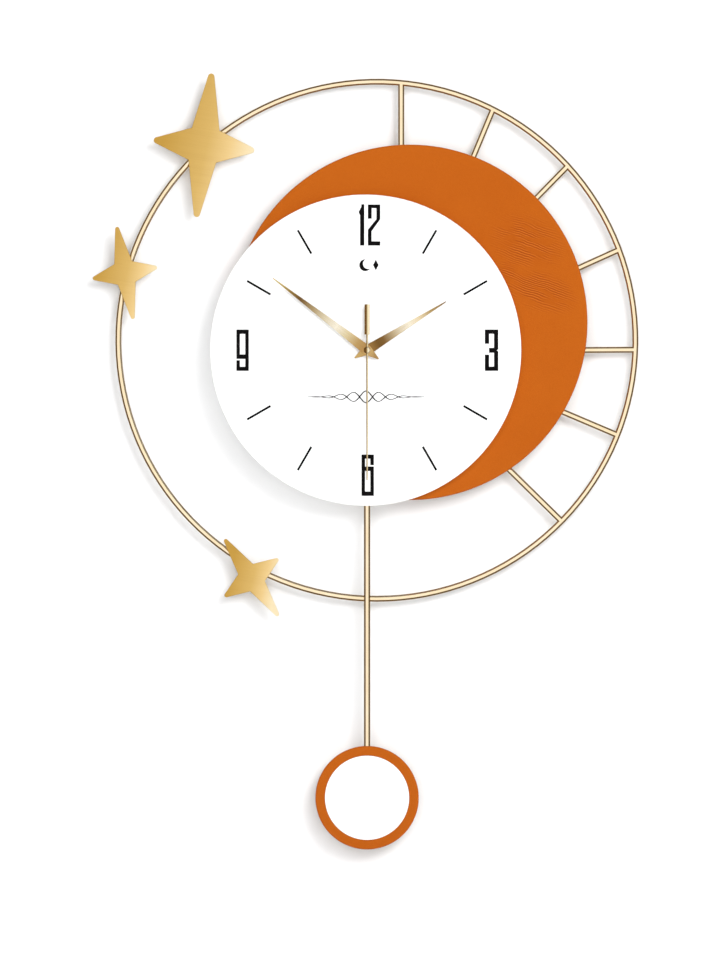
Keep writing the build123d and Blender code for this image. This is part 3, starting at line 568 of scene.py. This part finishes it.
MAGNET = finish_of(
    "sintered magnet", rgb(92, 92, 96), rgb(70, 70, 74), (0.35, 0.55), metallic=1.0, grain=1500.0)

# Paint, sheet, print and board
WHITE_PAINT = finish_of(
    "white paint", rgb(246, 246, 245), rgb(242, 242, 240), (0.35, 0.5),
    grain=500.0, depth=0.02 * MM, specular=0.4)
WHITE_SHEET = finish_of(
    "white sheet", rgb(249, 249, 249), rgb(247, 247, 246), (0.5, 0.62),
    grain=1400.0, depth=0.006 * MM, specular=0.3)
BLACK_PRINT = finish_of(
    "black print", rgb(9, 8, 9), rgb(17, 15, 16), (0.6, 0.75), grain=1800.0, depth=0.004 * MM, specular=0.04)
FIBREBOARD = finish_of(
    "fibreboard", rgb(150, 118, 84), rgb(128, 98, 68), (0.75, 0.92),
    grain=1700.0, depth=0.06 * MM, drift=900.0)

# Plastics and rubber
CASE_PLASTIC = finish_of(
    "case plastic", rgb(34, 34, 36), rgb(26, 26, 28), (0.5, 0.66),
    grain=1500.0, depth=0.03 * MM, specular=0.4)
KNOB_PLASTIC = finish_of("knob plastic", rgb(40, 40, 42), rgb(30, 30, 32), (0.35, 0.5), grain=1100.0)
NATURAL_PLASTIC = finish_of("natural plastic", rgb(232, 228, 214), rgb(222, 216, 200), (0.4, 0.55))
CIRCUIT = finish_of("circuit board", rgb(24, 96, 54), rgb(18, 80, 44), (0.2, 0.35), grain=700.0)
RUBBER = finish_of(
    "moulded rubber", rgb(30, 30, 30), rgb(40, 39, 38), (0.7, 0.85),
    grain=1200.0, depth=0.03 * MM, specular=0.25)

# Hands, whose gold carries painted reflections, painted shade and painted highlights
# Painted reflection bands along the hour hand; the next material paints them along the minute hand.
HOUR_GOLD_PAINTED_REFLECTION = hand_metal("hour hand gold", [
    (0.03, rgb(204, 172, 112)), (0.11, rgb(194, 158, 100)), (0.18, rgb(152, 112, 62)),
    (0.26, rgb(110, 76, 34)), (0.32, rgb(124, 88, 46)), (0.42, rgb(192, 172, 138)),
    (0.5, rgb(230, 217, 192)), (0.6, rgb(254, 246, 228)), (0.7, rgb(244, 226, 192)),
    (0.83, rgb(186, 160, 112)), (1.0, rgb(128, 94, 50))],
    HOUR_ANGLE, HOUR_LENGTH)
MINUTE_GOLD_PAINTED_REFLECTION = hand_metal("minute hand gold", [
    (0.03, rgb(178, 142, 92)), (0.09, rgb(214, 180, 122)), (0.14, rgb(184, 144, 88)),
    (0.2, rgb(196, 162, 106)), (0.3, rgb(230, 214, 174)), (0.4, rgb(254, 248, 232)),
    (0.5, rgb(230, 218, 190)), (0.62, rgb(178, 156, 116)), (0.74, rgb(112, 80, 42)),
    (0.83, rgb(152, 124, 66)), (0.94, rgb(212, 190, 124))],
    MINUTE_ANGLE, MINUTE_LENGTH)
# Painted shade on the left half of the second hand and a painted highlight on its right half, across the
# hand.
SECOND_GOLD_PAINTED_SHADE_AND_HIGHLIGHT = plated("second hand gold", [
    (0.0, rgb(126, 90, 44)), (0.36, rgb(100, 66, 24)), (0.44, rgb(176, 152, 108)),
    (0.58, rgb(218, 200, 160)), (0.66, rgb(250, 238, 210)), (1.0, rgb(244, 226, 190))],
    (0.18, 0.28), ARBOR - Vector((SECOND_HALF_WIDTH, 0, 0)), Vector((2 * SECOND_HALF_WIDTH, 0, 0)))


# ---- New pieces ----

def arc_profile(centre_radius, centre_y, size, start, end, steps):
    """Points of a rounded corner, as (radius, y)."""
    points = []
    for number in range(steps + 1):
        angle = math.radians(start + (end - start) * number / steps)
        points.append((centre_radius + size * math.cos(angle), centre_y - size * math.sin(angle)))
    return points


def cutter(kind, **sizes):
    nothing_selected()
    getattr(bpy.ops.mesh, kind)(**sizes)
    tool = bpy.context.object
    settle(tool)
    return tool


def cut_away(piece, tool):
    apply_modifier(piece, "BOOLEAN", operation="DIFFERENCE", solver="EXACT", object=tool)
    bpy.data.objects.remove(tool)


def moon_hide():
    """Leather drawn over the face of the crescent and round its outer rim."""
    front = moon_low.y
    back = moon_high.y
    corner = 1.6 * MM
    profile = [(MOON_RADIUS, back), (MOON_RADIUS, back - 3 * MM), (MOON_RADIUS, back - 6 * MM)]
    profile += arc_profile(MOON_RADIUS - corner, front + corner, corner, 0, 90, 5)
    radius = MOON_RADIUS - corner
    for share in (0.1, 0.3, 0.6, 1.0):
        profile.append((radius + (HIDE_HOLE_RADIUS - radius) * share, front))
    hide = turned("moon_hide", MOON, profile, 360)
    outwards(hide)
    apply_modifier(hide, "SOLIDIFY", thickness=LEATHER * 0.96, offset=-1.0)
    cut_away(hide, cutter(
        "primitive_cylinder_add", vertices=256, radius=MOON_CUT_RADIUS, depth=0.08, location=MOON_CUT,
        rotation=(math.pi / 2, 0, 0)))
    side = 0.3
    cut_away(hide, cutter(
        "primitive_cube_add", size=side,
        location=(PENDULUM_GAP_X - side / 2, MOON.y, PENDULUM_GAP_Z - side / 2)))
    smooth(hide, 50)
    apply_modifier(hide, "WEIGHTED_NORMAL", weight=100, keep_sharp=True)
    return finish_piece(hide, "moon_hide", "clock", LEATHER_MOON, ["moon_leather"])


def bob_hide():
    """Leather ring of the bob: rolled over the outer edge and turned in at the white face."""
    front = bob_low.y
    back = bob_high.y
    corner = 1.4 * MM
    inner = BOB_RADIUS - 0.6 * MM
    profile = [(inner, back), (BOB_RADIUS, back), (BOB_RADIUS, back - 2 * MM), (BOB_RADIUS, back - 4 * MM)]
    profile += arc_profile(BOB_RADIUS - corner, front + corner, corner, 0, 90, 5)
    profile += [(BOB_RADIUS - 3.5 * MM, front)]
    profile += [(BOB_FACE_RADIUS + 2.0 * MM, front), (BOB_FACE_RADIUS + 0.7 * MM, front)]
    profile += arc_profile(BOB_FACE_RADIUS + 0.5 * MM, front + 0.4 * MM, 0.4 * MM, 90, 180, 3)
    profile += [(BOB_FACE_RADIUS + 0.1 * MM, front + 0.55 * MM), (inner, front + 0.6 * MM), (inner, back)]
    ring = turned("bob_hide", BOB, profile, 192)
    edit_all(ring)
    bpy.ops.mesh.remove_doubles(threshold=0.01 * MM)
    leave_edit()
    outwards(ring)
    rod_low, rod_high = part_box("pendulum_rod")
    rod_hole_radius = 3.12 * MM
    cut_away(ring, cutter(
        "primitive_cylinder_add", vertices=48, radius=rod_hole_radius, depth=6 * MM,
        location=(BOB.x, (rod_low.y + rod_high.y) / 2, BOB.z + BOB_RADIUS)))
    smooth(ring, 50)
    return finish_piece(ring, "bob_hide", "pendulum", LEATHER_BOB, ["bob_leather"])


def battery_cell():
    """Cell turned along X: flat negative end, crimped wrap at both ends and a stepped positive nub."""
    low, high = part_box("battery")
    middle = (low + high) / 2
    radius = (high.z - low.z) / 2
    nub = 2.7 * MM
    nub_length = 1.1 * MM
    start = low.x
    can_end = high.x - nub_length
    profile = [
        (0.02 * MM, start + 0.25 * MM), (4.2 * MM, start + 0.25 * MM), (4.6 * MM, start), (5.6 * MM, start),
        (radius - 0.7 * MM, start + 0.12 * MM), (radius - 0.15 * MM, start + 0.45 * MM),
        (radius, start + 0.95 * MM), (radius, can_end - 1.0 * MM),
        (radius - 0.15 * MM, can_end - 0.5 * MM), (radius - 0.6 * MM, can_end - 0.12 * MM),
        (radius - 1.3 * MM, can_end), (radius - 1.6 * MM, can_end - 0.35 * MM),
        (nub + 0.6 * MM, can_end - 0.3 * MM), (nub, can_end),
        (nub, high.x - 0.3 * MM), (nub - 0.3 * MM, high.x), (0.02 * MM, high.x),
    ]
    cell = turned("battery_cell", Vector((0, 0, 0)), profile, 64)
    edit_all(cell)
    bpy.ops.mesh.select_all(action="DESELECT")
    bpy.ops.mesh.select_mode(type="EDGE")
    bpy.ops.mesh.select_non_manifold()
    bpy.ops.mesh.edge_face_add()
    leave_edit()
    cell.rotation_euler = (0, 0, -math.pi / 2)
    settle(cell)
    cell.location = (0, middle.y, middle.z)
    settle(cell)
    outwards(cell)
    smooth(cell, 30)
    jacket = battery_jacket(low.x, high.x - low.x)
    return finish_piece(cell, "battery_cell", "battery_cell", jacket, ["battery"])


def flourish():
    """Plain ornament below the hands: two pen lines woven over each other, dying away to each side."""
    half_width = 56 * MM
    tallest = 5.6 * MM
    crossings = 9
    count = 320
    middle_x = ARBOR.x - 1 * MM
    middle_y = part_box("dial_numerals")[0].y + 0.17 * MM
    middle_z = ARBOR.z - 44.8 * MM
    curve = bpy.data.curves.new("dial_flourish", "CURVE")
    curve.dimensions = "3D"
    for side in (-1, 1):
        line = curve.splines.new("POLY")
        line.points.add(count)
        for number in range(count + 1):
            share = 2 * number / count - 1
            angle = share * crossings * math.pi / 2
            reach = tallest * (1 - abs(share)) ** 0.6 * (0.55 + 0.45 * math.cos(share * math.pi))
            x = middle_x + half_width * share
            z = middle_z + side * reach * math.cos(angle)
            line.points[number].co = (x, middle_y, z, 1)
            # The lines are thickest where they cross, and thinner towards the ends.
            line.points[number].radius = 0.5 + 0.75 * (1 - abs(share)) * (0.35 + 0.65 * abs(math.sin(angle)))
    curve.bevel_depth = 0.56 * MM
    curve.bevel_resolution = 1
    curve.use_fill_caps = True
    piece = bpy.data.objects.new("dial_flourish", curve)
    bpy.context.scene.collection.objects.link(piece)
    take_up(piece)
    bpy.ops.object.convert(target="MESH")
    piece = bpy.context.object
    edit_all(piece)
    bpy.ops.mesh.remove_doubles(threshold=0.002 * MM)
    bpy.ops.transform.resize(value=(1, 0.3, 1), center_override=(ARBOR.x, middle_y, ARBOR.z))
    leave_edit()
    outwards(piece)
    smooth(piece, 60)
    return finish_piece(piece, "dial_flourish", "clock", BLACK_PRINT)


moon_hide()
bob_hide()
battery_cell()
flourish()
for star in ("star_large", "star_medium", "star_small"):
    softened(star, 0.35 * MM, star + "_plate", star_metal(star))
softened("hour_hand", 0.12 * MM, "hour_hand_plate", HOUR_GOLD_PAINTED_REFLECTION)
softened("minute_hand", 0.12 * MM, "minute_hand_plate", MINUTE_GOLD_PAINTED_REFLECTION)
softened("second_hand", 0.08 * MM, "second_hand_plate", SECOND_GOLD_PAINTED_SHADE_AND_HIGHLIGHT)


# ---- Materials of the CAD nodes that stay ----

BY_SLOT = {
    "gold_wire": GOLD_WIRE, "gold_plate": GOLD_WIRE, "gold_rod": GOLD_ROD, "gold_hands": GOLD_WIRE,
    "fibreboard": FIBREBOARD, "orange_leather": LEATHER_BOB,
    "white_paint": WHITE_PAINT, "white_face": WHITE_SHEET, "black_print": BLACK_PRINT,
    "zinc_screws": ZINC, "zinc_bracket": ZINC, "black_rubber": RUBBER,
    "black_case": CASE_PLASTIC, "knob_plastic": KNOB_PLASTIC, "natural_plastic": NATURAL_PLASTIC,
    "train_steel": STEEL, "brass": BRASS, "board_green": CIRCUIT, "soft_iron": IRON,
    "copper_wire": COPPER, "contact_steel": STEEL, "magnet": MAGNET, "battery_jacket": KNOB_PLASTIC,
}
for row in frame["record"]["subparts"]:
    node = NODES[row["node"]]
    node.data.materials.clear()
    node.data.materials.append(BY_SLOT[row["material_slot"]])


# ---- Studio ----

WALL_Y = 6 * MM
FLOOR_Z = -0.9
VIEW_CENTRE = Vector((ARBOR.x - 6.8 * MM, 0, ARBOR.z - 124.6 * MM))
VIEW_HEIGHT = 0.924
CAMERA_DISTANCE = 12.0
STAGE_SIZE = 14


def stage_plane(name, place, turn, material):
    nothing_selected()
    bpy.ops.mesh.primitive_plane_add(size=STAGE_SIZE, location=place, rotation=turn)
    plane = bpy.context.object
    plane.name = name
    plane.data.materials.append(material)
    return plane


def wall_material():
    """White wall that is open from behind, so that the back of the clock can be seen."""
    material, tree, shader = blank("wall white")
    shader.inputs["Base Color"].default_value = (0.9, 0.9, 0.9, 1)
    shader.inputs["Roughness"].default_value = 0.9
    shader.inputs["Specular IOR Level"].default_value = 0.0
    behind = add(tree, "ShaderNodeNewGeometry").outputs["Backfacing"]
    clear = add(tree, "ShaderNodeBsdfTransparent")
    either = add(tree, "ShaderNodeMixShader", {0: behind, 1: shader.outputs[0], 2: clear.outputs[0]})
    tree.links.new(either.outputs[0], tree.nodes["Material Output"].inputs["Surface"])
    return material


FLOOR_WHITE = finish_of("floor", (0.8, 0.8, 0.8, 1), (0.79, 0.79, 0.79, 1), (0.6, 0.7))
wall = stage_plane("wall", (0, WALL_Y, FLOOR_Z + STAGE_SIZE / 2), (math.pi / 2, 0, 0), wall_material())
wall.visible_shadow = False
wall.visible_glossy = False
ground = stage_plane("floor", (0, 0, FLOOR_Z), (0, 0, 0), FLOOR_WHITE)
ground.visible_glossy = False


def panel(name, place, size, watts):
    """Square soft light that faces the clock. Metals mirror the studio world in place of the panels."""
    data = bpy.data.lights.new(name, "AREA")
    data.size = size
    data.energy = watts
    lamp = bpy.data.objects.new(name, data)
    lamp.location = place
    lamp.rotation_euler = (VIEW_CENTRE - Vector(place)).to_track_quat("-Z", "Y").to_euler()
    lamp.visible_camera = False
    lamp.visible_glossy = False
    bpy.context.scene.collection.objects.link(lamp)


panel("key", (1.25, -2.6, 1.0), 1.4, 52)
panel("front_fill", (-0.4, -3.6, 0.0), 3.0, 62)
panel("rear_fill", (-1.0, 2.8, 0.7), 1.6, 38)


FRONT_GLOW = (1.1, 1.085, 1.03, 1)
DARK_BAND = (0.1, 0.062, 0.034, 1)
SIDE_GLOW = (0.17, 0.13, 0.09, 1)
REAR_GLOW = (0.95, 0.94, 0.9, 1)
SOFT_LIGHT = (0.46, 0.465, 0.475, 1)
BACKDROP = (0.93, 0.93, 0.93, 1)


def studio_world():
    """Pale backdrop, even soft light, and for reflections a bright front with a dark band round it."""
    world = bpy.data.worlds.new("studio")
    bpy.context.scene.world = world
    world.use_nodes = True
    tree = world.node_tree
    backdrop = tree.nodes["Background"]
    direction = add(tree, "ShaderNodeTexCoord").outputs["Generated"]
    forward = vector_math(tree, "DOT_PRODUCT", direction, (0, -1, 0))
    mirror = ramp(tree, map_range(tree, forward, -1.0, 1.0), [
        (0.07, REAR_GLOW), (0.16, SIDE_GLOW), (0.5, SIDE_GLOW),
        (0.56, DARK_BAND), (0.79, DARK_BAND), (0.83, FRONT_GLOW)])
    ray = add(tree, "ShaderNodeLightPath")
    soft = mix_colours(tree, ray.outputs["Is Glossy Ray"], SOFT_LIGHT, mirror)
    seen = mix_colours(tree, ray.outputs["Is Camera Ray"], soft, BACKDROP)
    tree.links.new(seen, backdrop.inputs["Color"])


studio_world()

camera_data = bpy.data.cameras.new("camera")
camera_data.sensor_width = 36.0
camera_data.lens = camera_data.sensor_width * CAMERA_DISTANCE / VIEW_HEIGHT
camera = bpy.data.objects.new("camera", camera_data)
camera.location = VIEW_CENTRE + Vector((0, -CAMERA_DISTANCE, 0))
camera.rotation_euler = (math.pi / 2, 0, 0)
bpy.context.scene.collection.objects.link(camera)
bpy.context.scene.camera = camera
bpy.context.scene.view_settings.view_transform = "Standard"
